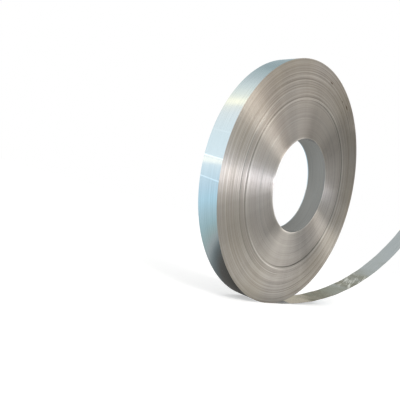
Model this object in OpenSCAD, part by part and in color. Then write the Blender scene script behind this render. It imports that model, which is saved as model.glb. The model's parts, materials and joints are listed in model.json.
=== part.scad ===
// Coil of slit steel strip, wound tight on an open bore. The coil is one turned body: groups of
// turns have slipped a little along the axis, so bands of turns stand in and out on both ends, and
// the innermost turns step out of the front end towards the bore. The strip's free end has come
// off the rim and keeps a wide bend of its own.

/* [Coil] */
// Diameter over the outermost turn
coil_d = 1300; // [1000:10:1500]
// Bore, the size that coil mandrels expand to
bore_d = 508; // [400:1:620]
// Width of the slit strip, which is also the coil's length along its axis
strip_w = 115; // [60:1:200]
// Thickness of the strip
strip_t = 1.2; // [0.6:0.1:3]

/* [Turns on the ends] */
// Bands of turns that can be told apart on each end
band_count = 40; // [16:1:60]
// How far a single band stands in or out of its group at most
band_step = 1.2; // [0.2:0.1:3]
// How far a whole group of turns has slipped along the axis at most
slip_step = 2; // [0.5:0.1:6]
// Innermost turns, each of which has slipped a little further out of the front end than the next
inner_turns = 7; // [2:1:20]
// How far the innermost of them stands out there
inner_slip = 3.5; // [1:0.5:15]

/* [Free end] */
// Length of the strip that has come off the rim, measured along it
free_l = 2400; // [600:10:2900]
// Straight stretch of that length next to the rim
root_l = 100; // [60:1:300]
// Radius of the bend that the rest of it keeps, on its outer face
free_r = 3090; // [2200:10:6000]

/* [Hidden] */
$fn = 240;

bore_r = bore_d / 2;
coil_r = coil_d / 2;
cone_r = bore_r + inner_turns * strip_t;
band_w = (coil_r - cone_r) / band_count;
// Where the turns slipped, as shares of the way from those innermost turns to the rim
slip_line_shares = [0.23, 0.47, 0.62, 0.8];
// How far each group between those lines slipped, as a share of slip_step
group_slip_shares = [0, -0.7, 1, -0.5, 0];
// How far a band's edge strays from even spacing, as a share of a band
stray_share = 0.35;
// Turns of the two waves that vary the bands, in degrees from one band to the next
stray_turn = 137.5;
step_turn = 99;
// How deep the free end starts inside the outermost turn, as a share of the strip's thickness
root_depth_share = 0.3;
// How far the loose strip's edges lie inside the ends of the outermost band
edge_inset = 0.3;
free_w = strip_w - 2 * edge_inset;
free_angle = (free_l - root_l) / free_r * 180 / PI;

// Radius at which band i starts; the last one gives the rim
function band_start(i) = i == band_count ? coil_r
    : cone_r + band_w * (i + stray_share * sin(stray_turn * i));
// Number of slip lines that lie inside band i
function group_of(i) = len([for (share = slip_line_shares) if (share * band_count <= i) share]);
// How far band i is shifted along the axis; the cube leaves most bands of a group nearly level
function band_shift(i) = slip_step * group_slip_shares[group_of(i)]
    + band_step * pow(sin(step_turn * i), 3);

// The wound turns, cut along the axis: each band is a strip's width long and shifted as a whole
module turns_section() {
    upper = [for (i = [0 : band_count - 1], edge = [0, 1])
        [band_start(i + edge), strip_w / 2 + band_shift(i)]];
    lower = [for (i = [band_count - 1 : -1 : 0], edge = [1, 0])
        [band_start(i + edge), band_shift(i) - strip_w / 2]];
    innermost = [for (side = [-1, 1]) [bore_r, inner_slip + side * strip_w / 2]];
    polygon(concat(upper, lower, innermost));
}

// The loose strip: it starts inside the outermost turn, leaves the rim straight and then bends
module free_end() {
    translate([0, root_depth_share * strip_t - coil_r, band_shift(band_count - 1) - free_w / 2]) {
        cube([root_l, strip_t, free_w]);
        translate([root_l, free_r])
            rotate([0, 0, -90])
                rotate_extrude(angle = free_angle, $fn = 8 * $fn)
                    translate([free_r - strip_t, 0])
                        square([strip_t, free_w]);
    }
}

// The whole strip, standing on its rim with the axis level
module strip_coil() {
    color([0.66, 0.65, 0.62])
        rotate([90, 0, 0])
            union() {
                rotate_extrude() turns_section();
                free_end();
            }
}

strip_coil();
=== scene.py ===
"""Dresses the steel coil: the wound strip with its free end, its finishes, and a studio with cards."""

from __future__ import annotations

import json
import logging
import math
import random
from collections.abc import Iterator
from dataclasses import dataclass
from enum import Enum
from typing import Any

import bpy
from bpy.types import Material, Node, NodeSocket, NodeTree, Object
from mathutils import Matrix, Quaternion, Vector

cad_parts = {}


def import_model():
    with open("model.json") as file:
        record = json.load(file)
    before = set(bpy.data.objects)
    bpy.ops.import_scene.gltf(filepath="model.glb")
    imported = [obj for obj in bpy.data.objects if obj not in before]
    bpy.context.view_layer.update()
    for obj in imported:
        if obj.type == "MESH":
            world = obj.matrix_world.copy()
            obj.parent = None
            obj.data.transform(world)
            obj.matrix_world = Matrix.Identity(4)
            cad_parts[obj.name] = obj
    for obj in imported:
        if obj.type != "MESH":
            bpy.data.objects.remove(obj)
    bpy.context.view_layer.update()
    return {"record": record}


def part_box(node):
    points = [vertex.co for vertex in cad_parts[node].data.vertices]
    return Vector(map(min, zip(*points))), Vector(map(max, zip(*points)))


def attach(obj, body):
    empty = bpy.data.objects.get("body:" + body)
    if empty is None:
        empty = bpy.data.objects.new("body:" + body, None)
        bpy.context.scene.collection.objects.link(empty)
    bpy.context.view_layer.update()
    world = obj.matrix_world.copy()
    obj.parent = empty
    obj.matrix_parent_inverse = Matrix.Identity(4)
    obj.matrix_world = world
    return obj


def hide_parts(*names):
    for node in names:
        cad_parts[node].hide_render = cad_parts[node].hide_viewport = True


LOG = logging.getLogger("steel_coil")
MM = 0.001
TURN = 2.0 * math.pi
MIDDLE = 0.5  # middle level of a noise or a grey ramp
WHITE = (1.0, 1.0, 1.0, 1.0)
Pair = tuple[float, float]
Point = tuple[float, float, float]
Tones = tuple[tuple[float, str], ...]


class Surface(Enum):
    """The two kinds of surface that a strip has, with their material slots."""

    ROLLED_FACE = 0
    SLIT_EDGE = 1


def linear_colour(hex_code: str) -> tuple[float, float, float, float]:
    """Turn an sRGB colour into the linear one that shaders take.

    Args:
        hex_code: Six hex digits, red first.

    Returns:
        Linear red, green and blue, and an alpha of one.
    """
    parts = [int(hex_code[k : k + 2], 16) / 255.0 for k in (0, 2, 4)]
    red, green, blue = (c / 12.92 if c <= 0.04045 else ((c + 0.055) / 1.055) ** 2.4 for c in parts)
    return red, green, blue, 1.0


def add_node(
    tree: NodeTree,
    kind: str,
    settings: dict[str | int, Any] | None = None,
    links: dict[str | int, NodeSocket] | None = None,
) -> Node:
    """Add a shader node with its settings and its incoming links.

    Args:
        tree: The node tree to add to.
        kind: Blender's name for the kind of node.
        settings: Properties of the node, or default values of its inputs by name or number.
        links: Output sockets to link in, by the name or number of the input.

    Returns:
        The new node.
    """
    node = tree.nodes.new(kind)
    for key, value in (settings or {}).items():
        if isinstance(key, str) and hasattr(node, key):
            setattr(node, key, value)
        else:
            node.inputs[key].default_value = value
    for key, source in (links or {}).items():
        tree.links.new(source, node.inputs[key])
    return node


def new_material(name: str) -> tuple[Material, NodeTree]:
    """Make an empty node material.

    Args:
        name: The material's name.

    Returns:
        The material and its cleared node tree.
    """
    material = bpy.data.materials.new(name)
    material.use_nodes = True
    material.node_tree.nodes.clear()
    return material, material.node_tree


def deselect_all() -> None:
    """Leave edit mode if need be and deselect every object."""
    if bpy.context.object and bpy.context.object.mode != "OBJECT":
        bpy.ops.object.mode_set(mode="OBJECT")
    bpy.ops.object.select_all(action="DESELECT")


def start_point(name: str, at: Vector) -> Object:
    """Start a new mesh as one selected vertex, in edit mode.

    Args:
        name: The new object's name.
        at: Where the vertex stands.

    Returns:
        The object, which sits at the origin.
    """
    deselect_all()
    bpy.ops.mesh.primitive_plane_add(size=1.0, location=(0.0, 0.0, 0.0))
    piece = bpy.context.object
    piece.name = piece.data.name = name
    bpy.ops.object.mode_set(mode="EDIT")
    bpy.ops.mesh.select_all(action="SELECT")
    bpy.ops.mesh.merge(type="CENTER")
    bpy.ops.transform.translate(value=at)
    return piece


def extrude_to(here: Vector, there: Vector) -> None:
    """Extrude what is selected in edit mode from one place to the next."""
    bpy.ops.mesh.extrude_region_move(TRANSFORM_OT_translate={"value": there - here})


@dataclass(frozen=True)
class TurnLine:
    """A few turns that slipped along the axis together, and so draw a line round each end.

    Attributes:
        share: Where they lie, as a share of the rim's radius.
        height_mm: How far they stand out of the front end, or lie below it where negative.
        half_width_mm: Half the width of the line.
    """

    share: float
    height_mm: float
    half_width_mm: float


@dataclass(frozen=True)
class Speck:
    """A rusty speck on the front end.

    Attributes:
        angle: Its angle from +X towards +Z, in degrees.
        share: Where it lies, as a share of the rim's radius.
        across_mm: Its reach across the turns.
        along_mm: Its reach along the turns.
    """

    angle: float
    share: float
    across_mm: float
    along_mm: float


@dataclass(frozen=True)
class SlitEdgeFinish:
    """Slit edges of the wound strip: sheared low-carbon steel, grey and satin, lying side by side.

    The edges form fine rings that catch light across the turns and not along them, so lamps show as
    streaks from bore to rim. The rings' tones are partly the turns' own and partly painted shade on the
    low rings and painted highlight on the high ones, and faint radial streaks of painted light and shade
    run round the end. Turns that stand out are drawn bright, partly worn bright and partly painted
    highlight, and the sunken turns beside them are drawn dark with painted shade. A thin film of dust and
    oil warms the grey, and a little rust has started near the rim.
    """

    steel: str = "a5a19c"
    # The dark and light ring tones below are partly the turns' own, partly painted shade and painted
    # highlight.
    groove_shade: str = "8b8680"
    glint_highlight: str = "bbb7b2"
    # The next two: a highlight, partly worn and partly painted, on turns that stand out, and painted shade
    # on sunken turns.
    rubbed_and_highlight: str = "dedbd5"
    gap_shade: str = "635f59"
    dust: str = "a09888"
    rust: str = "5d4c40"
    roughness: float = 0.40
    roughness_spread: float = 0.05  # grooves are duller and glints glossier by this much
    anisotropy: float = 1.0
    ring_mm: float = 6.0  # a turn is 1.2 mm thick, too fine to show, so rings of some five turns are drawn
    ring_marks: tuple[float, float, float] = (0.30, 0.5, 0.72)  # noise levels of the dark (partly painted shade), steel and light (partly painted highlight) ring tones
    calm_share: float = 0.35  # how much of the rings shows by the bore, where the turns lie more level
    calm_ends: Pair = (0.42, 0.5)  # shares of the way to the rim over which that rises to all
    ring_bump_mm: float = 0.4
    ring_bump_share: float = 0.35
    film_mm: float = 454.5
    film_ends: Pair = (0.3, 0.8)  # shares of the way to the rim over which the film thickens
    film_share: float = 0.7  # how much of its colour the thickest film gives
    noise_ends: Pair = (0.3, 0.7)  # the levels between which most of a noise lies
    sector_scale: float = 7.0  # on a circle of radius 1, so patches are some 90 mm long at the rim
    # painted light and shade in faint radial streaks round the end
    painted_sector_shades: Pair = (0.95, 1.05)
    line_scale: float = 1.4  # on a circle of radius 1, so a line comes and goes a few times round the end
    line_ends: Pair = (0.38, 0.58)  # noise levels of a faint and of a full line
    line_least: float = 0.25
    line_apart_mm: float = 40.0  # lines further apart than this come and go by themselves
    full_height_mm: float = 2.0  # a turn that stands out this far takes all of the worn and painted highlight, one lying this far in all of the painted shade
    speck_depth_mm: float = 20.0
    speck_edge_mm: float = 11.11  # size of the noise that breaks up a speck's edge
    speck_ends: Pair = (1.5, 0.9)  # reach, with that noise added, of no rust and of full rust
    specks: tuple[Speck, ...] = (
        Speck(88.0, 0.91, 5.0, 16.0),
        Speck(65.0, 0.925, 7.0, 22.0),
        Speck(71.0, 0.90, 3.0, 9.0),
    )

    def line_profile(
        self, tree: NodeTree, share: NodeSocket, bore: float, rim: float, lines: tuple[TurnLine, ...]
    ) -> NodeSocket:
        """Draw the slipped turns as grey levels from bore to rim, with the middle grey for level turns.

        Args:
            tree: The node tree to add to.
            share: Share of the way from bore to rim.
            bore: Radius of the bore, in metres.
            rim: Radius of the rim, in metres.
            lines: The slipped turns, from the bore outwards.

        Returns:
            The socket that gives the grey level.
        """
        ramp = add_node(tree, "ShaderNodeValToRGB", {}, {"Fac": share})
        marks = ramp.color_ramp.elements
        for mark in marks:
            mark.color = (MIDDLE, MIDDLE, MIDDLE, 1.0)
        for line in lines:
            level = MIDDLE + MIDDLE * line.height_mm / self.full_height_mm
            for offset, grey in ((-line.half_width_mm, MIDDLE), (0.0, level), (line.half_width_mm, MIDDLE)):
                position = (line.share * rim + offset * MM - bore) / (rim - bore)
                if position > 0.0:
                    marks.new(position).color = (grey, grey, grey, 1.0)
        return ramp.outputs["Color"]

    def line_strength(self, tree: NodeTree, radius: NodeSocket, heading: NodeSocket) -> NodeSocket:
        """Let each line come and go round the end.

        Args:
            tree: The node tree to add to.
            radius: Distance from the axis, in metres.
            heading: Unit vector away from the axis.

        Returns:
            The socket that gives the line's strength.
        """
        per_line = 1.0 / (self.line_apart_mm * MM)
        apart = add_node(tree, "ShaderNodeMath", {"operation": "MULTIPLY", 1: per_line}, {0: radius})
        lift = add_node(tree, "ShaderNodeCombineXYZ", {}, {"Y": apart.outputs[0]}).outputs[0]
        place = add_node(tree, "ShaderNodeVectorMath", {"operation": "ADD"}, {0: heading, 1: lift})
        noise = add_node(
            tree,
            "ShaderNodeTexNoise",
            {"Scale": self.line_scale, "Detail": 1.0},
            {"Vector": place.outputs[0]},
        )
        faint, full = self.line_ends
        return add_node(
            tree,
            "ShaderNodeMapRange",
            {"From Min": faint, "From Max": full, "To Min": self.line_least},
            {"Value": noise.outputs["Fac"]},
        ).outputs[0]

    def speck_mask(self, tree: NodeTree, place: NodeSocket, rim: float, front: float) -> NodeSocket:
        """Mark the rusty specks.

        Args:
            tree: The node tree to add to.
            place: Object coordinates.
            rim: Radius of the rim, in metres.
            front: Place of the front end along Y, in metres.

        Returns:
            The socket that is one in a speck and zero elsewhere.
        """
        broken = add_node(
            tree,
            "ShaderNodeTexNoise",
            {"Scale": 1.0 / (self.speck_edge_mm * MM), "Detail": 3.0},
            {"Vector": place},
        ).outputs["Fac"]
        clean, rusty = self.speck_ends
        mask = None
        for speck in self.specks:
            angle, radius = math.radians(speck.angle), speck.share * rim
            spot = add_node(
                tree,
                "ShaderNodeMapping",
                {
                    "vector_type": "TEXTURE",
                    "Location": (radius * math.cos(angle), front, radius * math.sin(angle)),
                    "Rotation": (0.0, -angle, 0.0),
                    "Scale": (speck.across_mm * MM, self.speck_depth_mm * MM, speck.along_mm * MM),
                },
                {"Vector": place},
            ).outputs[0]
            reach = add_node(tree, "ShaderNodeVectorMath", {"operation": "LENGTH"}, {0: spot})
            ragged = add_node(
                tree, "ShaderNodeMath", {"operation": "ADD"}, {0: reach.outputs["Value"], 1: broken}
            ).outputs[0]
            dark = add_node(
                tree, "ShaderNodeMapRange", {"From Min": clean, "From Max": rusty}, {"Value": ragged}
            ).outputs[0]
            mask = dark if mask is None else add_node(
                tree, "ShaderNodeMath", {"operation": "MAXIMUM"}, {0: mask, 1: dark}
            ).outputs[0]
        return mask

    def ring_noise(
        self, tree: NodeTree, place: NodeSocket, radius: NodeSocket, share: NodeSocket
    ) -> NodeSocket:
        """Add the fine rings, which grow calmer towards the bore.

        Args:
            tree: The node tree to add to.
            place: Object coordinates.
            radius: Distance from the axis, in metres.
            share: Share of the way from bore to rim.

        Returns:
            The socket that gives the noise.
        """
        parts = add_node(tree, "ShaderNodeSeparateXYZ", {}, {0: place})
        across = add_node(
            tree, "ShaderNodeMath", {"operation": "MULTIPLY", 1: 1.0 / (self.ring_mm * MM)}, {0: radius}
        ).outputs[0]
        polar = add_node(
            tree, "ShaderNodeCombineXYZ", {}, {"X": parts.outputs["X"], "Y": across, "Z": parts.outputs["Z"]}
        ).outputs[0]
        rings = add_node(
            tree, "ShaderNodeTexNoise", {"Scale": 1.0, "Detail": 3.0, "Roughness": 0.65}, {"Vector": polar}
        ).outputs["Fac"]
        calm, full = self.calm_ends
        depth = add_node(
            tree,
            "ShaderNodeMapRange",
            {"From Min": calm, "From Max": full, "To Min": self.calm_share},
            {"Value": share},
        ).outputs[0]
        apart = add_node(tree, "ShaderNodeMath", {"operation": "SUBTRACT", 1: MIDDLE}, {0: rings}).outputs[0]
        return add_node(
            tree, "ShaderNodeMath", {"operation": "MULTIPLY_ADD", 2: MIDDLE}, {0: apart, 1: depth}
        ).outputs[0]

    def film_amount(self, tree: NodeTree, place: NodeSocket, share: NodeSocket) -> NodeSocket:
        """Spread the film of dust and oil in patches that grow thicker towards the rim.

        Args:
            tree: The node tree to add to.
            place: Object coordinates.
            share: Share of the way from bore to rim.

        Returns:
            The socket that gives the film's share of the colour.
        """
        patches = add_node(
            tree,
            "ShaderNodeTexNoise",
            {"Scale": 1.0 / (self.film_mm * MM), "Detail": 2.0, "Roughness": 0.5},
            {"Vector": place},
        ).outputs["Fac"]
        thin, thick = self.film_ends
        most = add_node(
            tree,
            "ShaderNodeMapRange",
            {"From Min": thin, "From Max": thick, "To Max": self.film_share},
            {"Value": share},
        ).outputs[0]
        low, high = self.noise_ends
        return add_node(
            tree,
            "ShaderNodeMapRange",
            {"From Min": low, "From Max": high},
            {"Value": patches, "To Max": most},
        ).outputs[0]

    def material(self, bore: float, rim: float, front: float, lines: tuple[TurnLine, ...]) -> Material:
        """Build the material on the coil's own axis.

        Args:
            bore: Radius of the bore, in metres.
            rim: Radius of the rim, in metres.
            front: Place of the front end along Y, in metres.
            lines: The slipped turns, from the bore outwards.

        Returns:
            The node material.
        """
        material, tree = new_material("slit_strip_edges")
        low, high = self.noise_ends
        place = add_node(tree, "ShaderNodeTexCoord").outputs["Object"]
        level = add_node(
            tree, "ShaderNodeVectorMath", {"operation": "MULTIPLY", 1: (1.0, 0.0, 1.0)}, {0: place}
        ).outputs[0]
        radius = add_node(tree, "ShaderNodeVectorMath", {"operation": "LENGTH"}, {0: level}).outputs["Value"]
        heading = add_node(tree, "ShaderNodeVectorMath", {"operation": "NORMALIZE"}, {0: level}).outputs[0]
        share = add_node(
            tree, "ShaderNodeMapRange", {"From Min": bore, "From Max": rim}, {"Value": radius}
        ).outputs[0]

        rings = self.ring_noise(tree, place, radius, share)
        # Ring tones: partly the turns' own, partly painted shade on low rings and painted highlight on high
        # ones, which the bump raises.
        tone = add_node(tree, "ShaderNodeValToRGB", {}, {"Fac": rings})
        marks = tone.color_ramp.elements
        groove_shade_mark, steel_mark, glint_highlight_mark = self.ring_marks
        marks[0].position, marks[0].color = groove_shade_mark, linear_colour(self.groove_shade)
        marks[1].position, marks[1].color = glint_highlight_mark, linear_colour(self.glint_highlight)
        marks.new(steel_mark).color = linear_colour(self.steel)
        colour = add_node(
            tree,
            "ShaderNodeMix",
            {"data_type": "RGBA", 7: linear_colour(self.dust)},
            {"Factor": self.film_amount(tree, place, share), 6: tone.outputs["Color"]},
        ).outputs[2]

        # Painted light and shade: faint radial streaks round the end, a few percent lighter or darker.
        sector = add_node(
            tree,
            "ShaderNodeTexNoise",
            {"Scale": self.sector_scale, "Detail": 4.0, "Roughness": 0.6},
            {"Vector": heading},
        ).outputs["Fac"]
        darkest, lightest = self.painted_sector_shades
        shade = add_node(
            tree,
            "ShaderNodeMapRange",
            {"From Min": low, "From Max": high, "To Min": darkest, "To Max": lightest},
            {"Value": sector},
        ).outputs[0]
        colour = add_node(
            tree, "ShaderNodeVectorMath", {"operation": "SCALE"}, {0: colour, "Scale": shade}
        ).outputs[0]

        profile = self.line_profile(tree, share, bore, rim, lines)
        height = add_node(tree, "ShaderNodeSeparateXYZ", {}, {0: place}).outputs["Y"]
        side = add_node(tree, "ShaderNodeMath", {"operation": "SIGN"}, {0: height}).outputs[0]
        relief = add_node(
            tree, "ShaderNodeMath", {"operation": "SUBTRACT", 1: MIDDLE}, {0: profile}
        ).outputs[0]
        for factor in (side, self.line_strength(tree, radius, heading)):
            relief = add_node(
                tree, "ShaderNodeMath", {"operation": "MULTIPLY"}, {0: relief, 1: factor}
            ).outputs[0]
        # Painted highlight, partly worn, where turns stand out; painted shade where they lie in.
        rubbed_and_highlight, sunk_shade = (
            add_node(tree, "ShaderNodeMapRange", {"From Max": reach}, {"Value": relief}).outputs[0]
            for reach in (-MIDDLE, MIDDLE)
        )
        rusty = self.speck_mask(tree, place, rim, front)
        for amount, hex_code in ((rubbed_and_highlight, self.rubbed_and_highlight), (sunk_shade, self.gap_shade), (rusty, self.rust)):
            colour = add_node(
                tree,
                "ShaderNodeMix",
                {"data_type": "RGBA", 7: linear_colour(hex_code)},
                {"Factor": amount, 6: colour},
            ).outputs[2]

        dull, glossy = self.roughness + self.roughness_spread, self.roughness - self.roughness_spread
        gloss = add_node(
            tree,
            "ShaderNodeMapRange",
            {"From Min": low, "From Max": high, "To Min": dull, "To Max": glossy},
            {"Value": rings},
        ).outputs[0]
        bump = add_node(
            tree,
            "ShaderNodeBump",
            {"Strength": self.ring_bump_share, "Distance": self.ring_bump_mm * MM},
            {"Height": rings},
        )
        shader = add_node(
            tree,
            "ShaderNodeBsdfPrincipled",
            {"Metallic": 1.0, "Anisotropic": self.anisotropy},
            {"Base Color": colour, "Roughness": gloss, "Normal": bump.outputs[0], "Tangent": heading},
        )
        add_node(tree, "ShaderNodeOutputMaterial", {}, {"Surface": shader.outputs[0]})
        return material


@dataclass(frozen=True)
class RolledFaceFinish:
    """Broad faces of the strip: cold-rolled bright steel, nearly a mirror.

    Fine rolling lines run along its length, soft waves and a few creases lie across it where it was
    wound, the creases with painted highlight on them, and a thin oil film clouds it. The loose end is
    scuffed from handling; its scuffs are partly lighter scuffed steel and partly painted highlight of the
    dented strip, and the stretch round them is drawn darker.
    """

    steel: str = "d4d8d9"
    line: str = "c3c8c9"
    crease_highlight: str = "eef0f0"
    scuff_and_glint: str = "f4f4ee"
    # the stretch round the scuffs is drawn darker in this colour
    stretch_dark: str = "aeaca2"
    roughness: float = 0.12
    haze: Pair = (-0.03, 0.08)  # change of roughness under the thinnest and the thickest film
    haze_ends: Pair = (0.35, 0.7)  # noise levels of the thinnest and the thickest film
    scuff_roughness: float = 0.35
    line_mm: Pair = (400.0, 2.5)  # along and across; real rolling lines are too fine to show
    line_ends: Pair = (0.42, 0.72)  # noise levels of no line and of a full line
    wave_mm: Pair = (55.0, 400.0)
    film_mm: Pair = (110.0, 60.0)
    scuff_mm: Pair = (110.0, 20.0)
    scuff_turn: float = 17.0  # degrees from the strip's length
    scuff_ends: Pair = (0.45, 0.66)  # noise levels of no scuff and of a full scuff
    dent_mm: Pair = (160.0, 110.0)
    wave_height_mm: float = 0.35
    dent_height_mm: float = 4.0
    crease_height_mm: float = 0.3
    crease_width_mm: float = 6.0
    crease_slant: float = 0.12
    crease_highlight_share: float = 0.7  # how much of its painted highlight the creases of full share show
    stretch_dark_share: float = 0.7  # how much of its colour the stretch round the scuffs shows
    creases: tuple[Pair, ...] = (  # place along the outermost turn in metres, share of height
        (-2.002, 1.0),
        (-1.906, 1.0),
        (-0.74, 0.7),
        (0.93, 0.7),
        (1.36, 0.5),
        (1.963, 0.2),
    )
    scuffed: Pair = (6.17, 0.21)  # middle and reach along the strip, in metres

    def streaks(
        self,
        tree: NodeTree,
        place: NodeSocket,
        size_mm: Pair,
        detail: float,
        turn: float = 0.0,
    ) -> NodeSocket:
        """Add noise that is drawn out to a size along and across the strip.

        Args:
            tree: The node tree to add to.
            place: Place along and across the strip, in metres.
            size_mm: Size along and across the strip.
            detail: Octaves of finer noise.
            turn: Degrees by which the noise is turned from the strip's length.

        Returns:
            The socket that gives the noise.
        """
        sized = add_node(
            tree,
            "ShaderNodeMapping",
            {
                "vector_type": "TEXTURE",
                "Rotation": (0.0, 0.0, math.radians(turn)),
                "Scale": (size_mm[0] * MM, size_mm[1] * MM, 1.0),
            },
            {"Vector": place},
        ).outputs[0]
        return add_node(
            tree, "ShaderNodeTexNoise", {"Scale": 1.0, "Detail": detail, "Roughness": 0.6}, {"Vector": sized}
        ).outputs["Fac"]

    def nearness(
        self, tree: NodeTree, along: NodeSocket, middle: float, ends: Pair, most: float
    ) -> NodeSocket:
        """Mark a stretch of the strip, with soft ends.

        Args:
            tree: The node tree to add to.
            along: Place along the strip, in metres.
            middle: Middle of the stretch, in metres.
            ends: Distances from the middle, in metres, at which the mark is zero and at which it is full.
            most: The full mark.

        Returns:
            The socket that gives the mark.
        """
        beside = add_node(tree, "ShaderNodeMath", {"operation": "SUBTRACT", 1: middle}, {0: along})
        away = add_node(tree, "ShaderNodeMath", {"operation": "ABSOLUTE"}, {0: beside.outputs[0]}).outputs[0]
        return add_node(
            tree,
            "ShaderNodeMapRange",
            {"interpolation_type": "SMOOTHSTEP", "From Min": ends[0], "From Max": ends[1], "To Max": most},
            {"Value": away},
        ).outputs[0]

    def crease_mask(self, tree: NodeTree, along: NodeSocket, across: NodeSocket) -> NodeSocket:
        """Mark the creases across the outermost turn.

        Args:
            tree: The node tree to add to.
            along: Place along the strip, in metres.
            across: Place across the strip, in metres.

        Returns:
            The socket that is one on creases of full share and falls to zero beside them.
        """
        slanted = add_node(
            tree,
            "ShaderNodeMath",
            {"operation": "MULTIPLY_ADD", 1: self.crease_slant},
            {0: across, 2: along},
        ).outputs[0]
        mask = None
        for place, share in self.creases:
            ridge = self.nearness(tree, slanted, place, (self.crease_width_mm * MM, 0.0), share)
            mask = ridge if mask is None else add_node(
                tree, "ShaderNodeMath", {"operation": "MAXIMUM"}, {0: mask, 1: ridge}
            ).outputs[0]
        return mask

    def material(self) -> Material:
        """Build the material on the strip's own length and width.

        Returns:
            The node material.
        """
        material, tree = new_material("bright_rolled_strip")
        place = add_node(tree, "ShaderNodeUVMap", {"uv_map": "strip"}).outputs[0]
        parts = add_node(tree, "ShaderNodeSeparateXYZ", {}, {0: place})
        creased = self.crease_mask(tree, parts.outputs["X"], parts.outputs["Y"])
        middle, reach = self.scuffed
        near = self.nearness(tree, parts.outputs["X"], middle, (reach, reach / 2.0), 1.0)

        bare, lined = self.line_ends
        line_share = add_node(
            tree,
            "ShaderNodeMapRange",
            {"From Min": bare, "From Max": lined},
            {"Value": self.streaks(tree, place, self.line_mm, 3.0)},
        ).outputs[0]
        colour = add_node(
            tree,
            "ShaderNodeMix",
            {"data_type": "RGBA", 6: linear_colour(self.steel), 7: linear_colour(self.line)},
            {"Factor": line_share},
        ).outputs[2]
        # The creases carry a painted highlight.
        bright, dark = (
            add_node(tree, "ShaderNodeMath", {"operation": "MULTIPLY", 1: share}, {0: mark}).outputs[0]
            for share, mark in ((self.crease_highlight_share, creased), (self.stretch_dark_share, near))
        )
        bare, scratched = self.scuff_ends
        scratches = add_node(
            tree,
            "ShaderNodeMapRange",
            {"From Min": bare, "From Max": scratched},
            {"Value": self.streaks(tree, place, self.scuff_mm, 3.0, self.scuff_turn)},
        ).outputs[0]
        # Scuffs: partly lighter scuffed steel, partly painted highlight of the dented strip.
        scuffs = add_node(
            tree, "ShaderNodeMath", {"operation": "MULTIPLY"}, {0: near, 1: scratches}
        ).outputs[0]
        for amount, hex_code in ((bright, self.crease_highlight), (dark, self.stretch_dark), (scuffs, self.scuff_and_glint)):
            colour = add_node(
                tree,
                "ShaderNodeMix",
                {"data_type": "RGBA", 7: linear_colour(hex_code)},
                {"Factor": amount, 6: colour},
            ).outputs[2]

        thin, thick = self.haze_ends
        clear, cloudy = (self.roughness + change for change in self.haze)
        haze = add_node(
            tree,
            "ShaderNodeMapRange",
            {"From Min": thin, "From Max": thick, "To Min": clear, "To Max": cloudy},
            {"Value": self.streaks(tree, place, self.film_mm, 3.0)},
        ).outputs[0]
        gloss = add_node(
            tree,
            "ShaderNodeMath",
            {"operation": "MULTIPLY_ADD", 1: self.scuff_roughness},
            {0: scuffs, 2: haze},
        ).outputs[0]
        height = add_node(
            tree,
            "ShaderNodeMath",
            {"operation": "MULTIPLY", 1: self.wave_height_mm},
            {0: self.streaks(tree, place, self.wave_mm, 1.0)},
        ).outputs[0]
        dents = add_node(
            tree,
            "ShaderNodeMath",
            {"operation": "MULTIPLY"},
            {0: near, 1: self.streaks(tree, place, self.dent_mm, 2.0)},
        ).outputs[0]
        for rise_mm, mark in ((self.crease_height_mm, creased), (self.dent_height_mm, dents)):
            height = add_node(
                tree, "ShaderNodeMath", {"operation": "MULTIPLY_ADD", 1: rise_mm}, {0: mark, 2: height}
            ).outputs[0]
        bump = add_node(tree, "ShaderNodeBump", {"Strength": 1.0, "Distance": MM}, {"Height": height})
        shader = add_node(
            tree,
            "ShaderNodeBsdfPrincipled",
            {"Metallic": 1.0},
            {"Base Color": colour, "Roughness": gloss, "Normal": bump.outputs[0]},
        )
        add_node(tree, "ShaderNodeOutputMaterial", {}, {"Surface": shader.outputs[0]})
        return material


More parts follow.
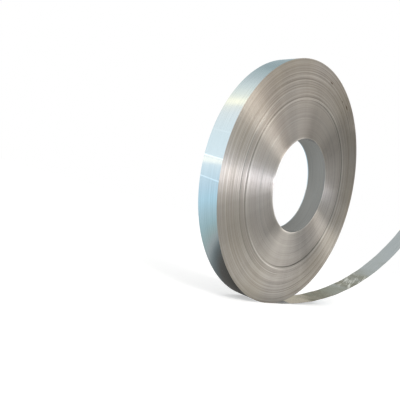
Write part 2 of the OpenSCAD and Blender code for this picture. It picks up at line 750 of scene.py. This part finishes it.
@dataclass
class StripCoil:
    """The wound strip with its open bore and its free end, its axis along Y and its front end at -Y.

    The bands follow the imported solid: each is shifted along the axis as a whole, and is split here into
    finer rings of turns.
    """

    bore_radius: float
    rim_radius: float
    strip_width: float
    strip_thickness: float = 1.2 * MM
    band_count: int = 40
    band_step: float = 1.2 * MM
    slip_step: float = 2.0 * MM
    inner_turns: int = 7
    inner_slip: float = 3.5 * MM
    ring_width: float = 2.8 * MM
    ring_step: float = 0.22 * MM
    ring_seed: int = 7
    segments: int = 144
    root_length: float = 100.0 * MM
    free_length: float = 2400.0 * MM
    free_radius: float = 3090.0 * MM
    root_depth_share: float = 0.3
    free_segments: int = 200
    free_strands: int = 6
    wave_height: float = 0.8 * MM
    wave_lengths: Pair = (310.0 * MM, 170.0 * MM)  # of the bending and the twisting waves
    wave_starts: Pair = (0.6, 1.9)  # in radians
    wave_middle_share: float = 0.35  # how much of a bending wave reaches the middle of the strip
    twist_share: float = 0.6
    wave_rise: float = 400.0 * MM  # length over which the waves grow
    map_start: float = 5.0  # the loose strip's map starts well clear of the outermost turn's
    edge_lean: float = 0.5  # a face whose normal lies along the axis by more than this is a slit edge
    least_face: float = 50.0  # smallest rolled face of the loose strip, in squares of its thickness
    weld: float = 0.01 * MM
    smooth_angle: float = math.radians(20.0)
    lines: tuple[TurnLine, ...] = (
        TurnLine(0.391, 1.8, 9.0),
        TurnLine(0.550, 0.5, 2.5),
        TurnLine(0.690, -1.4, 3.0),
        TurnLine(0.706, 2.0, 3.5),
        TurnLine(0.721, -0.6, 2.5),
        TurnLine(0.787, 0.5, 2.5),
        TurnLine(0.833, -0.7, 2.5),
        TurnLine(0.876, 0.6, 2.5),
        TurnLine(0.892, -0.9, 2.5),
        TurnLine(0.930, 0.5, 2.5),
    )
    slip_line_shares: tuple[float, ...] = (0.23, 0.47, 0.62, 0.8)
    group_slip_shares: tuple[float, ...] = (0.0, -0.7, 1.0, -0.5, 0.0)
    stray_share: float = 0.35
    stray_turn: float = math.radians(137.5)
    step_turn: float = math.radians(99.0)

    @property
    def cone_radius(self) -> float:
        """Outer radius of the innermost turns, which step out of the front end towards the bore."""
        return self.bore_radius + self.inner_turns * self.strip_thickness

    def band_start(self, i: int) -> float:
        """Find the radius at which a band starts.

        Args:
            i: Number of the band, from the bore outwards.

        Returns:
            The radius in metres, which past the last band is the rim's.
        """
        if i == self.band_count:
            return self.rim_radius
        pitch = (self.rim_radius - self.cone_radius) / self.band_count
        return self.cone_radius + pitch * (i + self.stray_share * math.sin(self.stray_turn * i))

    def band_shift(self, i: int) -> float:
        """Find how far a band is shifted along the axis.

        Args:
            i: Number of the band, from the bore outwards.

        Returns:
            The shift in metres, positive towards the front end.
        """
        group = sum(share * self.band_count <= i for share in self.slip_line_shares)
        slip = self.slip_step * self.group_slip_shares[group]
        return slip + self.band_step * math.sin(self.step_turn * i) ** 3

    def line_shift(self, radius: float) -> float:
        """Find how far the turns that slipped as lines are shifted at a radius.

        Args:
            radius: Distance from the axis, in metres.

        Returns:
            The shift in metres, positive towards the front end.
        """
        shift = 0.0
        for line in self.lines:
            away = (radius - line.share * self.rim_radius) / (line.half_width_mm * MM)
            shift += line.height_mm * MM * math.exp(-(away**2))
        return shift

    def rings(self) -> Iterator[tuple[float, float, float]]:
        """Split the bands into rings of a few turns.

        Yields:
            Inner radius, outer radius and shift along the axis of each ring, from the bore outwards.
        """
        draw = random.Random(self.ring_seed)
        for i in range(self.band_count):
            inner, outer = self.band_start(i), self.band_start(i + 1)
            count = max(1, round((outer - inner) / self.ring_width))
            for k in range(count):
                near, far = inner + (outer - inner) * k / count, inner + (outer - inner) * (k + 1) / count
                shift = self.band_shift(i) + self.ring_step * draw.uniform(-1.0, 1.0)
                yield near, far, shift + self.line_shift((near + far) / 2.0)

    def section(self) -> list[Vector]:
        """Outline the wound turns in the X-Y plane.

        Returns:
            The outline's points, along the front end and back to the bore.
        """
        rings = list(self.rings())
        half = self.strip_width / 2.0
        front = [Vector((r, -half - shift, 0.0)) for *edges, shift in rings for r in edges]
        back = [Vector((r, half - shift, 0.0)) for *edges, shift in reversed(rings) for r in reversed(edges)]
        innermost = [Vector((self.bore_radius, side * half - self.inner_slip, 0.0)) for side in (1.0, -1.0)]
        return front + back + innermost

    def close_up(self) -> None:
        """Merge the mesh's double vertices, turn its faces outwards and leave edit mode."""
        bpy.ops.mesh.select_all(action="SELECT")
        bpy.ops.mesh.remove_doubles(threshold=self.weld)
        bpy.ops.mesh.normals_make_consistent(inside=False)
        bpy.ops.object.mode_set(mode="OBJECT")

    def build_turns(self) -> Object:
        """Trace the section point by point and spin it round the axis.

        Returns:
            The closed body of wound turns.
        """
        outline = self.section()
        piece = start_point("strip_coil_turns", outline[0])
        for here, there in zip(outline, outline[1:] + outline[:1]):
            extrude_to(here, there)
        bpy.ops.mesh.select_all(action="SELECT")
        bpy.ops.mesh.remove_doubles(threshold=self.weld)
        bpy.ops.mesh.select_all(action="SELECT")
        bpy.ops.mesh.spin(steps=self.segments, angle=TURN, center=(0.0, 0.0, 0.0), axis=(0.0, 1.0, 0.0))
        self.close_up()
        return piece

    def build_free_end(self) -> Object:
        """Extrude the loose strip straight off the rim, spin its bend and give it its thickness.

        Returns:
            The closed loose strip.
        """
        shift = self.band_shift(self.band_count - 1)
        floor = -self.rim_radius + self.root_depth_share * self.strip_thickness
        near = Vector((0.0, -self.strip_width / 2.0 - shift, floor))
        strand = Vector((0.0, self.strip_width / self.free_strands, 0.0))
        piece = start_point("strip_coil_free_end", near)
        for k in range(self.free_strands):
            extrude_to(near + strand * k, near + strand * (k + 1))
        bpy.ops.mesh.select_all(action="SELECT")
        extrude_to(near, near + Vector((self.root_length, 0.0, 0.0)))
        bpy.ops.mesh.spin(
            steps=self.free_segments,
            angle=(self.free_length - self.root_length) / self.free_radius,
            center=(self.root_length, 0.0, floor + self.free_radius),
            axis=(0.0, 1.0, 0.0),
        )
        self.close_up()
        self.ripple(piece)
        wall = piece.modifiers.new("thickness", "SOLIDIFY")
        wall.thickness = self.strip_thickness
        wall.offset = -1.0 if piece.data.polygons[0].normal.z < 0.0 else 1.0
        bpy.ops.object.modifier_apply(modifier=wall.name)
        return piece

    def free_place(self, point: Vector) -> float:
        """Measure how far along the loose strip a point on it lies.

        Args:
            point: The point.

        Returns:
            Length from where the strip leaves the rim, in metres.
        """
        if point.x <= self.root_length:
            return point.x
        bend = math.atan2(point.x - self.root_length, self.free_radius - self.rim_radius - point.z)
        return self.root_length + bend * self.free_radius

    def ripple(self, piece: Object) -> None:
        """Give the loose strip the slight waves that a strip keeps from being wound, most at its edges.

        Args:
            piece: The loose strip, before it has its thickness.
        """
        for vertex in piece.data.vertices:
            along = self.free_place(vertex.co)
            side = 2.0 * vertex.co.y / self.strip_width
            bending, twisting = (
                math.sin(TURN * along / length + start)
                for length, start in zip(self.wave_lengths, self.wave_starts)
            )
            middle = self.wave_middle_share
            wave = bending * (middle + (1.0 - middle) * side * side) + self.twist_share * side * twisting
            past_root = along - self.root_length
            rise = min(1.0, max(0.0, past_root / self.wave_rise)) * self.wave_height * wave
            bend = max(0.0, past_root / self.free_radius)
            vertex.co += rise * Vector((-math.sin(bend), 0.0, math.cos(bend)))

    def unroll(self, point: Vector, middle: Vector) -> Pair:
        """Place of a rolled face's point along and across the strip, in metres.

        Args:
            point: The point.
            middle: The middle of its face, which picks the side of the seam.

        Returns:
            Length along the strip and place across it.
        """
        turn = math.atan2(middle.z, middle.x)
        outwards = point.x * math.cos(turn) + point.z * math.sin(turn)
        sideways = point.z * math.cos(turn) - point.x * math.sin(turn)
        return (turn + math.atan2(sideways, outwards)) * math.hypot(middle.x, middle.z), point.y

    def mark_turns(self, piece: Object) -> None:
        """Give each face of the wound turns its slot and its place on the strip's UV map.

        Where turns stand out of the ends, the walls beside them are bare rolled face, as rim and bore are.

        Args:
            piece: The body of wound turns.
        """
        mesh = piece.data
        layer = mesh.uv_layers.get("strip") or mesh.uv_layers.new(name="strip")
        for face in mesh.polygons:
            rolled = abs(face.normal.y) < self.edge_lean
            face.material_index = (Surface.ROLLED_FACE if rolled else Surface.SLIT_EDGE).value
            for loop in face.loop_indices:
                point = mesh.vertices[mesh.loops[loop].vertex_index].co
                along, across = self.unroll(point, face.center)
                layer.data[loop].uv = (along, across) if rolled else (math.hypot(point.x, point.z), along)

    def mark_free_end(self, piece: Object) -> None:
        """Give each face of the loose strip its slot and its place on the strip's UV map.

        Args:
            piece: The loose strip.
        """
        mesh = piece.data
        layer = mesh.uv_layers.get("strip") or mesh.uv_layers.new(name="strip")
        least = self.least_face * self.strip_thickness**2
        for face in mesh.polygons:
            rolled = abs(face.normal.y) < self.edge_lean and face.area > least
            face.material_index = (Surface.ROLLED_FACE if rolled else Surface.SLIT_EDGE).value
            for loop in face.loop_indices:
                point = mesh.vertices[mesh.loops[loop].vertex_index].co
                layer.data[loop].uv = (self.map_start + self.free_place(point), point.y)

    def build(self, rolled: RolledFaceFinish, edges: SlitEdgeFinish) -> Object:
        """Model the coil as one piece and dress it.

        Args:
            rolled: Finish of the strip's broad faces.
            edges: Finish of the strip's slit edges.

        Returns:
            The finished piece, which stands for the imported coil.
        """
        finishes = (
            rolled.material(),
            edges.material(self.bore_radius, self.rim_radius, -self.strip_width / 2.0, self.lines),
        )
        turns = self.build_turns()
        loose = self.build_free_end()
        for piece in (turns, loose):
            for finish in finishes:
                piece.data.materials.append(finish)
        self.mark_turns(turns)
        self.mark_free_end(loose)
        deselect_all()
        loose.select_set(True)
        turns.select_set(True)
        bpy.context.view_layer.objects.active = turns
        bpy.ops.object.join()
        turns.name = turns.data.name = "wound_strip"
        bpy.ops.object.shade_smooth_by_angle(angle=self.smooth_angle)
        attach(turns, "root")
        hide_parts("strip_coil")
        return turns


@dataclass(frozen=True)
class Softbox:
    """A rectangular lamp.

    Attributes:
        name: Its name.
        at: Where it hangs, in metres.
        aim: A point that it faces.
        size: Its width and height in metres.
        watts: Its power.
        tone: Its sRGB colour.
    """

    name: str
    at: Point
    aim: Point
    size: Pair
    watts: float
    tone: str


@dataclass(frozen=True)
class Card:
    """A toned card of the studio, which only reflections show. A dark or grey one is called a flag.

    Attributes:
        name: Its name.
        at: Its middle, in metres.
        aim: A point that it faces.
        up: The way in which its tones run.
        size: Its width and height in metres.
        strength: Its brightness, where one shows a tone as written.
        tones: Share of the height and sRGB colour of each tone, from the foot up. A plain card has one.
        hole: Radius of the hole in a round card, zero for a full disc, None for a card with corners.
    """

    name: str
    at: Point
    aim: Point
    up: Point
    size: Pair
    strength: float
    tones: Tones
    hole: float | None = None

    @classmethod
    def standing(
        cls,
        name: str,
        bearing: float,
        reach: Pair,
        width: float,
        strength: float,
        tones: Tones,
        away: float = 2.5,
    ) -> Card:
        """Make an upright card that faces the coil's axis from in front.

        Args:
            name: Its name.
            bearing: Its bearing in degrees, from +X towards -Y.
            reach: Heights of its foot and its top, in metres.
            width: Its width in metres.
            strength: Its brightness.
            tones: Its tones.
            away: Its distance from the axis, in metres.

        Returns:
            The card.
        """
        turn, height = math.radians(bearing), sum(reach) / 2.0
        at = (away * math.cos(turn), -away * math.sin(turn), height)
        size = (width, reach[1] - reach[0])
        return cls(name, at, (0.0, 0.0, height), (0.0, 0.0, 1.0), size, strength, tones)

    @classmethod
    def lying(cls, name: str, at: Point, size: Pair, strength: float, tones: Tones) -> Card:
        """Make a card that lies over the floor, with its tones running towards the back.

        Args:
            name: Its name.
            at: Its middle, in metres.
            size: Its width and depth in metres.
            strength: Its brightness.
            tones: Its tones.

        Returns:
            The card.
        """
        return cls(name, at, (at[0], at[1], at[2] + 1.0), (0.0, 1.0, 0.0), size, strength, tones)

    @classmethod
    def parallel(
        cls,
        name: str,
        at: Point,
        size: Pair,
        strength: float,
        tones: Tones,
        up: Point = (0.0, 0.0, 1.0),
        hole: float | None = None,
    ) -> Card:
        """Make a card that is parallel with the coil's ends.

        Args:
            name: Its name.
            at: Its middle, in metres.
            size: Its width and height in metres.
            strength: Its brightness.
            tones: Its tones.
            up: The way in which its tones run.
            hole: Radius of its hole, if it is round.

        Returns:
            The card.
        """
        return cls(name, at, (at[0], 0.0, at[2]), up, size, strength, tones, hole)


KEY_SOFTBOX = Softbox("key_softbox", (-1.5, -3.0, 3.0), (0.0, 0.0, 0.0), (1.6, 1.6), 60.0, "fffaf4")
OVER_FLOOR = -0.645  # height of the cards that lie over the floor
BOUNCE_TONES = ((0.0, "fffcf6"),)
# The cards are what the bright steel mirrors: they draw the streaks on the ends and tone the rolled faces.
# The flags for the loose strip, the rim and the front of the bore stand close beside those faces, and keep
# the cards in front out of them when they are seen from behind.
CARDS = (
    Card.parallel(
        "sky_card",
        at=(0.857, 4.0, 0.514),
        size=(14.0, 12.0),
        strength=1.6,
        tones=(
            (0.067, "d6e4eb"),
            (0.175, "d2e0e6"),
            (0.32, "d6dddf"),
            (0.375, "e0e2dc"),
            (0.395, "fffbe6"),
            (0.425, "fbf8e4"),
            (0.45, "e0e3da"),
            (0.484, "d7ddd8"),
            (0.567, "c1cbcc"),
            (0.648, "abb6b9"),
            (0.719, "9caaad"),
            (0.785, "8a989c"),
        ),
        up=(0.857, 0.0, 0.514),
    ),
    Card.parallel(
        "low_sky_card",
        at=(-1.5, 0.4, -0.335),
        size=(4.0, 0.63),
        strength=1.6,
        tones=(
            (0.02, "9eb6bf"),
            (0.27, "abcad9"),
            (0.49, "b6cddb"),
            (0.71, "c4d7e2"),
            (0.87, "cfdfe8"),
            (0.93, "fbfcf6"),
        ),
    ),
    # Its dark band, just behind the coil, is painted shadow of the coil on the floor, which the lower rim
    # mirrors.
    Card.lying(
        "floor_shadow_card",
        at=(-0.8, 0.12, OVER_FLOOR),
        size=(3.0, 0.56),
        strength=1.0,
        tones=(
            (0.0, "f8f8f8"),
            (0.14, "f4f4f3"),
            (0.20, "a09e9b"),
            (0.31, "4c4a47"),
            (0.47, "615f5c"),
            (0.55, "767d7f"),
            (0.59, "8f989a"),
            (0.64, "b6bcbe"),
            (0.73, "b3c7c7"),
            (0.875, "b8d6de"),
            (1.0, "c3e1eb"),
        ),
    ),
    Card(
        "loose_end_card",
        at=(2.5, 0.7, 0.95),
        aim=(0.0, 0.7, 0.95),
        up=(0.0, 0.0, 1.0),
        size=(1.6, 2.5),
        strength=1.0,
        tones=(
            (0.04, "b5ab9b"),
            (0.19, "ccc3b2"),
            (0.235, "9a9486"),
            (0.275, "858373"),
            (0.33, "a5a597"),
            (0.43, "b4b5ab"),
            (0.58, "cbcfcf"),
            (0.83, "c8cdcd"),
        ),
    ),
    Card.lying("right_floor_flag", (1.4, -0.19, OVER_FLOOR), (1.8, 0.22), 1.0, ((0.0, "403e3b"),)),
    Card.lying("floor_bounce_card", (1.65, -1.31, OVER_FLOOR), (1.3, 1.38), 3.8, BOUNCE_TONES),
    Card.lying("near_bounce_card", (1.1, -0.46, OVER_FLOOR), (1.4, 0.32), 2.4, BOUNCE_TONES),
    Card.parallel(
        "bore_flag",
        at=(0.0, 0.05, 0.0),
        size=(0.56, 0.56),
        strength=1.0,
        tones=((0.0, "8a8884"), (0.5, "a3a19d"), (1.0, "8a8884")),
    ),
    Card.parallel("near_right_flag", (0.58, -0.36, 0.16), (0.5, 0.48), 1.0, ((0.0, "b0aea9"),)),
    Card.parallel("low_bore_flag", (0.24, -0.36, -0.27), (0.36, 0.22), 1.0, ((0.0, "6a6864"),)),
    Card.parallel(
        "loose_strip_flag",
        at=(1.44, -0.06, -0.199),
        size=(0.3, 1.865),
        strength=1.0,
        tones=((0.0, "acb0b3"), (0.35, "d2d7d9"), (0.76, "dde1e3"), (1.0, "c4c8ca")),
        up=(0.923, 0.0, 0.384),
    ),
    Card.parallel(
        "rim_flag",
        at=(0.0, -0.061, 0.0),
        size=(2.0, 2.0),
        strength=1.0,
        tones=((0.1, "9da1a3"), (0.45, "b4babd"), (0.75, "ccd4d8"), (1.0, "dde6ea")),
        hole=0.656,
    ),
    Card.parallel(
        "front_bore_flag",
        at=(0.0, -0.058, 0.0),
        size=(0.5, 0.5),
        strength=1.0,
        tones=((0.0, "8f9598"), (0.5, "a9b0b4"), (1.0, "c6ced2")),
        hole=0.0,
    ),
    Card.lying(
        "back_floor_flag",
        at=(1.6, 0.76, -0.647),
        size=(1.9, 1.68),
        strength=1.0,
        tones=((0.0, "b9c1c6"), (0.5, "cbd2d6"), (1.0, "e4e8ea")),
    ),
    Card.lying("front_floor_flag", (0.6, -1.1, OVER_FLOOR), (0.8, 0.9), 0.5, BOUNCE_TONES),
    Card.standing("upper_right_flag", 12.0, (0.3, 2.9), 1.6, 1.0, ((0.0, "2e2c2a"),)),
    Card.standing(
        "front_strip_card",
        bearing=83.0,
        reach=(-0.09, 0.31),
        width=2.4,
        strength=9.2,
        tones=((0.0, "f8f6ff"), (0.40, "f8f6ff"), (0.55, "c8ccd6"), (1.0, "9a9ea6")),
    ),
    Card.standing("front_right_card", 68.0, (0.35, 0.95), 0.9, 2.0, ((0.0, "fff8f0"),)),
    Card.standing(
        "front_upper_card",
        bearing=85.0,
        reach=(0.35, 2.9),
        width=2.2,
        strength=2.2,
        tones=(
            (0.0, "d0d6da"),
            (0.36, "cac9c4"),
            (0.43, "ddc9b6"),
            (0.47, "ddc9b6"),
            (0.54, "d2c6bc"),
            (1.0, "ecdfd4"),
        ),
    ),
    Card.standing("low_front_flag", 48.0, (-0.64, 0.0), 1.1, 1.0, ((0.0, "2a2926"),)),
    Card.standing("upper_middle_card", 38.0, (0.95, 1.7), 0.5, 2.0, ((0.0, "fff6ec"),)),
    Card.standing("middle_flag", 45.0, (0.3, 1.0), 0.45, 1.0, ((0.0, "5c5c5c"),)),
)


@dataclass
class Studio:
    """A pale floor, a white surround, a soft lamp, cards, and the camera where the photograph was taken."""

    floor_height: float
    eye: Vector
    forward: Vector
    roll: float
    lens_mm: float = 36.0
    sensor_mm: float = 36.0
    floor_size: float = 60.0
    floor_paint: str = "f4f4f4"
    floor_glow: float = 0.42  # makes the lit floor white where it shows, and lights nothing
    surround_light: float = 0.7  # its light on things; where it shows, it is white
    lamp: Softbox = KEY_SOFTBOX
    cards: tuple[Card, ...] = CARDS
    round_card_sides: int = 96

    def add_camera(self) -> None:
        """Set up the camera and make it the scene's own."""
        data = bpy.data.cameras.new("camera")
        data.lens, data.sensor_width = self.lens_mm, self.sensor_mm
        camera = bpy.data.objects.new("camera", data)
        camera.location = self.eye
        level = self.forward.to_track_quat("-Z", "Y")
        camera.rotation_euler = (level @ Quaternion((0.0, 0.0, 1.0), self.roll)).to_euler()
        bpy.context.collection.objects.link(camera)
        bpy.context.scene.camera = camera

    def seen_share(self, tree: NodeTree, hidden: float, seen: float) -> NodeSocket:
        """Tell rays that show floor or surround, also in a reflection, from rays that only light things.

        Args:
            tree: The node tree to add to.
            hidden: Strength for rays that only light things.
            seen: Strength for rays that show floor or surround.

        Returns:
            The socket that gives the strength.
        """
        path = add_node(tree, "ShaderNodeLightPath")
        share = path.outputs["Is Camera Ray"]
        for kind in ("Is Glossy Ray", "Is Transmission Ray"):
            share = add_node(
                tree, "ShaderNodeMath", {"operation": "MAXIMUM"}, {0: share, 1: path.outputs[kind]}
            ).outputs[0]
        return add_node(
            tree, "ShaderNodeMapRange", {"To Min": hidden, "To Max": seen}, {"Value": share}
        ).outputs[0]

    def add_floor(self) -> None:
        """Lay the pale floor under the coil."""
        deselect_all()
        bpy.ops.mesh.primitive_plane_add(size=self.floor_size, location=(0.0, 0.0, 0.0))
        floor = bpy.context.object
        floor.name = floor.data.name = "floor"
        bpy.ops.object.mode_set(mode="EDIT")
        bpy.ops.transform.translate(value=(0.0, 0.0, self.floor_height))
        bpy.ops.object.mode_set(mode="OBJECT")
        material, tree = new_material("pale_floor")
        paint = add_node(tree, "ShaderNodeBsdfDiffuse", {"Color": linear_colour(self.floor_paint)})
        strength = self.seen_share(tree, 0.0, self.floor_glow)
        glow = add_node(tree, "ShaderNodeEmission", {"Color": WHITE}, {"Strength": strength})
        both = add_node(tree, "ShaderNodeAddShader", {}, {0: paint.outputs[0], 1: glow.outputs[0]})
        add_node(tree, "ShaderNodeOutputMaterial", {}, {"Surface": both.outputs[0]})
        floor.data.materials.append(material)

    def add_world(self) -> None:
        """Surround the scene with white."""
        world = bpy.data.worlds.new("white_surround")
        bpy.context.scene.world = world
        world.use_nodes = True
        tree = world.node_tree
        tree.nodes.clear()
        strength = self.seen_share(tree, self.surround_light, 1.0)
        light = add_node(tree, "ShaderNodeBackground", {"Color": WHITE}, {"Strength": strength})
        add_node(tree, "ShaderNodeOutputWorld", {}, {"Surface": light.outputs[0]})

    def add_lamp(self) -> None:
        """Hang the soft lamp."""
        data = bpy.data.lights.new(self.lamp.name, "AREA")
        data.shape = "RECTANGLE"
        data.size, data.size_y = self.lamp.size
        data.energy = self.lamp.watts
        data.color = linear_colour(self.lamp.tone)[:3]
        lamp = bpy.data.objects.new(self.lamp.name, data)
        lamp.location = self.lamp.at
        facing = Vector(self.lamp.aim) - Vector(self.lamp.at)
        lamp.rotation_euler = facing.to_track_quat("-Z", "Y").to_euler()
        bpy.context.collection.objects.link(lamp)

    def card_sheet(self, card: Card) -> Object:
        """Model a card, one metre across until its size is applied, and put it in its place.

        Args:
            card: The card.

        Returns:
            The flat sheet, which sits at the origin with its place in its mesh.
        """
        deselect_all()
        if card.hole is None:
            bpy.ops.mesh.primitive_plane_add(size=1.0, location=(0.0, 0.0, 0.0))
        else:
            bpy.ops.mesh.primitive_circle_add(
                vertices=self.round_card_sides, radius=0.5, fill_type="NGON", location=(0.0, 0.0, 0.0)
            )
        if card.hole:
            bpy.ops.object.mode_set(mode="EDIT")
            bpy.ops.mesh.inset(thickness=0.5 - card.hole / card.size[0])
            bpy.ops.mesh.delete(type="FACE")
            bpy.ops.object.mode_set(mode="OBJECT")
        sheet = bpy.context.object
        sheet.name = sheet.data.name = card.name
        facing = (Vector(card.aim) - Vector(card.at)).normalized()
        side = Vector(card.up).cross(facing).normalized()
        turn = Matrix((side, facing.cross(side), facing)).transposed().to_4x4()
        sheet.matrix_world = Matrix.Translation(card.at) @ turn @ Matrix.Diagonal((*card.size, 1.0, 1.0))
        bpy.ops.object.transform_apply(location=True, rotation=True, scale=True)
        return sheet

    def add_card(self, card: Card) -> None:
        """Stand up a toned card and hide it from all but reflections.

        Args:
            card: The card.
        """
        sheet = self.card_sheet(card)
        for kind in ("camera", "diffuse", "transmission", "shadow", "volume_scatter"):
            setattr(sheet, "visible_" + kind, False)
        material, tree = new_material(card.name)
        place = add_node(tree, "ShaderNodeTexCoord").outputs["UV"]
        height = add_node(tree, "ShaderNodeSeparateXYZ", {}, {0: place}).outputs["Y"]
        ramp = add_node(tree, "ShaderNodeValToRGB", {}, {"Fac": height})
        marks = ramp.color_ramp.elements
        for mark, (share, hex_code) in zip(marks, (card.tones[0], card.tones[-1])):
            mark.position, mark.color = share, linear_colour(hex_code)
        for share, hex_code in card.tones[1:-1]:
            marks.new(share).color = linear_colour(hex_code)
        glow = add_node(
            tree, "ShaderNodeEmission", {"Strength": card.strength}, {"Color": ramp.outputs["Color"]}
        )
        add_node(tree, "ShaderNodeOutputMaterial", {}, {"Surface": glow.outputs[0]})
        sheet.data.materials.append(material)

    def build(self) -> None:
        """Set up the whole studio."""
        self.add_camera()
        self.add_floor()
        self.add_world()
        self.add_lamp()
        for card in self.cards:
            self.add_card(card)
        bpy.context.scene.view_settings.view_transform = "Standard"


def main() -> None:
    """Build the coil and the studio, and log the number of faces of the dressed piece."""
    logging.basicConfig(level=logging.INFO)
    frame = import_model()
    low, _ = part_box("strip_coil")
    bore = next(mount for mount in frame["record"]["mounts"] if mount["name"] == "bore")
    coil = StripCoil(
        bore_radius=bore["dims"]["r_mm"] * MM,
        rim_radius=-low[0],
        strip_width=bore["dims"]["length_mm"] * MM,
    )
    piece = coil.build(RolledFaceFinish(), SlitEdgeFinish())
    LOG.info("%s: %d faces", piece.name, len(piece.data.polygons))
    studio = Studio(
        floor_height=low[2],
        eye=Vector((-1.884, -1.191, -0.289)),
        forward=Vector((0.7179, 0.6955, 0.0307)),
        roll=math.radians(16.3),
    )
    studio.build()


if __name__ == "__main__":
    main()
